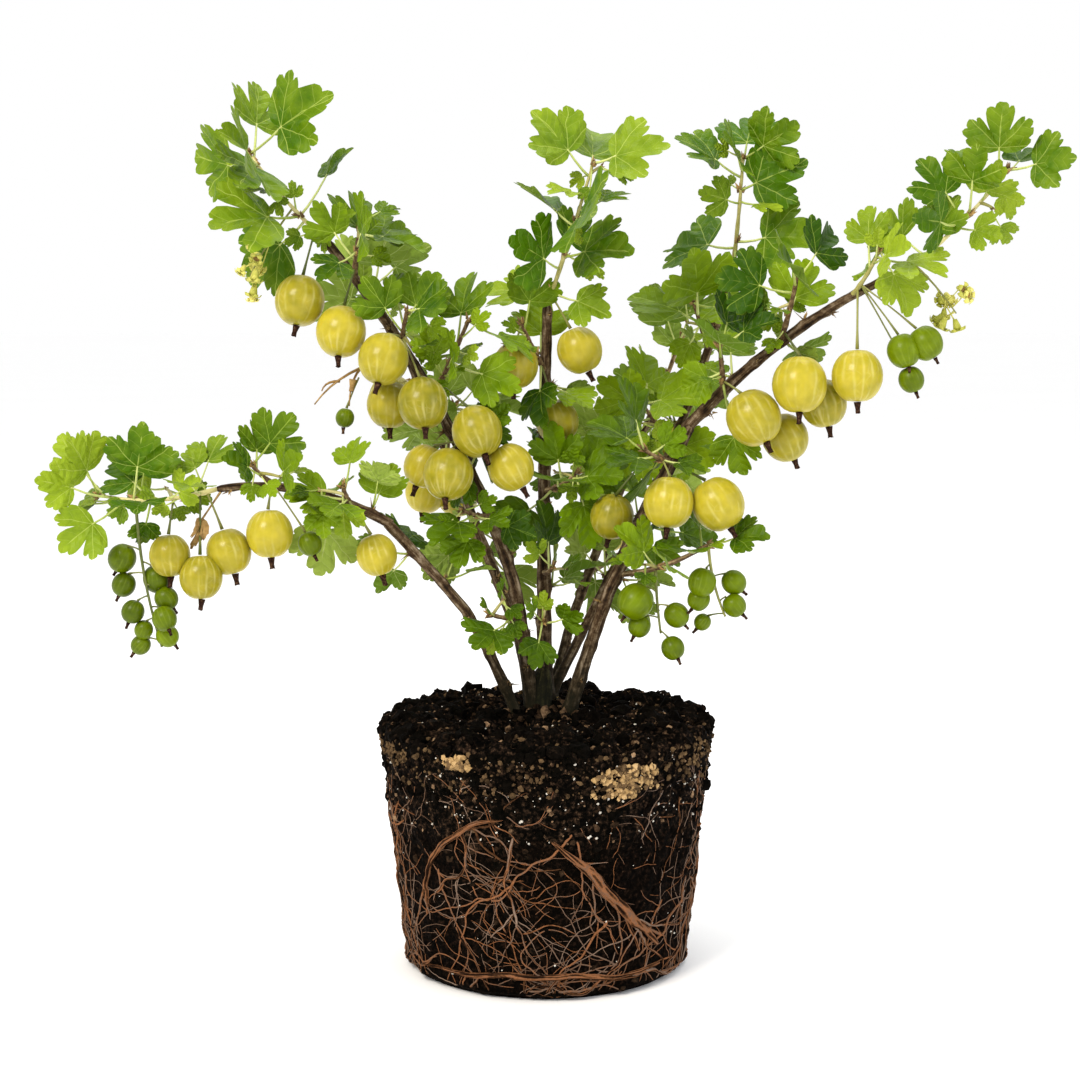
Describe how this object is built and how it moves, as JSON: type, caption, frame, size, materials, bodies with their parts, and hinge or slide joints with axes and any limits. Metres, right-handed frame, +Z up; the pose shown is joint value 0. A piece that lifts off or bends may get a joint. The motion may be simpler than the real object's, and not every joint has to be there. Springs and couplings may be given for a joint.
{
  "type": "gooseberry bush",
  "caption": "Gooseberry bush lifted from its pot, standing on a tapered root ball, with leafy arching boughs and hanging berries.",
  "frame": {"origin": "middle of the root ball's flat underside", "axes": "+Z up along the trunk, +X to the right along the bush's longest spread, -Y the front"},
  "size_m": [0.531, 0.2418, 0.4764],
  "materials": {
    "compost": "matt",
    "bark": "matt",
    "foliage": "satin"
  },
  "bodies": {
    "root": {"root_ball": "compost", "trunk": "bark", "bough_centre": "bark", "bough_left_high": "bark", "bough_right_back": "bark", "bough_right": "bark", "bough_right_arm": "bark", "bough_left_low": "bark", "bough_left_low_arm": "bark", "bough_back_left": "bark", "bough_back_right": "bark", "foliage_left_low_tip": "foliage", "foliage_left_low_mid": "foliage", "foliage_left_low_inner": "foliage", "foliage_left_high_tip": "foliage", "foliage_left_high_upper": "foliage", "foliage_left_high_side": "foliage", "foliage_left_high_right": "foliage", "foliage_left_high_low": "foliage", "foliage_left_inner": "foliage", "foliage_left_foot": "foliage", "foliage_centre_top": "foliage", "foliage_centre_upper": "foliage", "foliage_centre_mid": "foliage", "foliage_centre_low": "foliage", "foliage_centre_foot": "foliage", "foliage_right_back_top": "foliage", "foliage_right_back_upper": "foliage", "foliage_right_back_mid": "foliage", "foliage_right_back_low": "foliage", "foliage_right_stem_top": "foliage", "foliage_right_stem_low": "foliage", "foliage_right_arm_inner": "foliage", "foliage_right_arm_mid": "foliage", "foliage_right_arm_outer": "foliage", "foliage_right_tip": "foliage", "foliage_back_left_tip": "foliage", "foliage_back_left_mid": "foliage", "foliage_back_left_low": "foliage", "foliage_back_right_tip": "foliage", "foliage_back_right_mid": "foliage", "foliage_back_right_low": "foliage"}
  },
  "joints": []
}
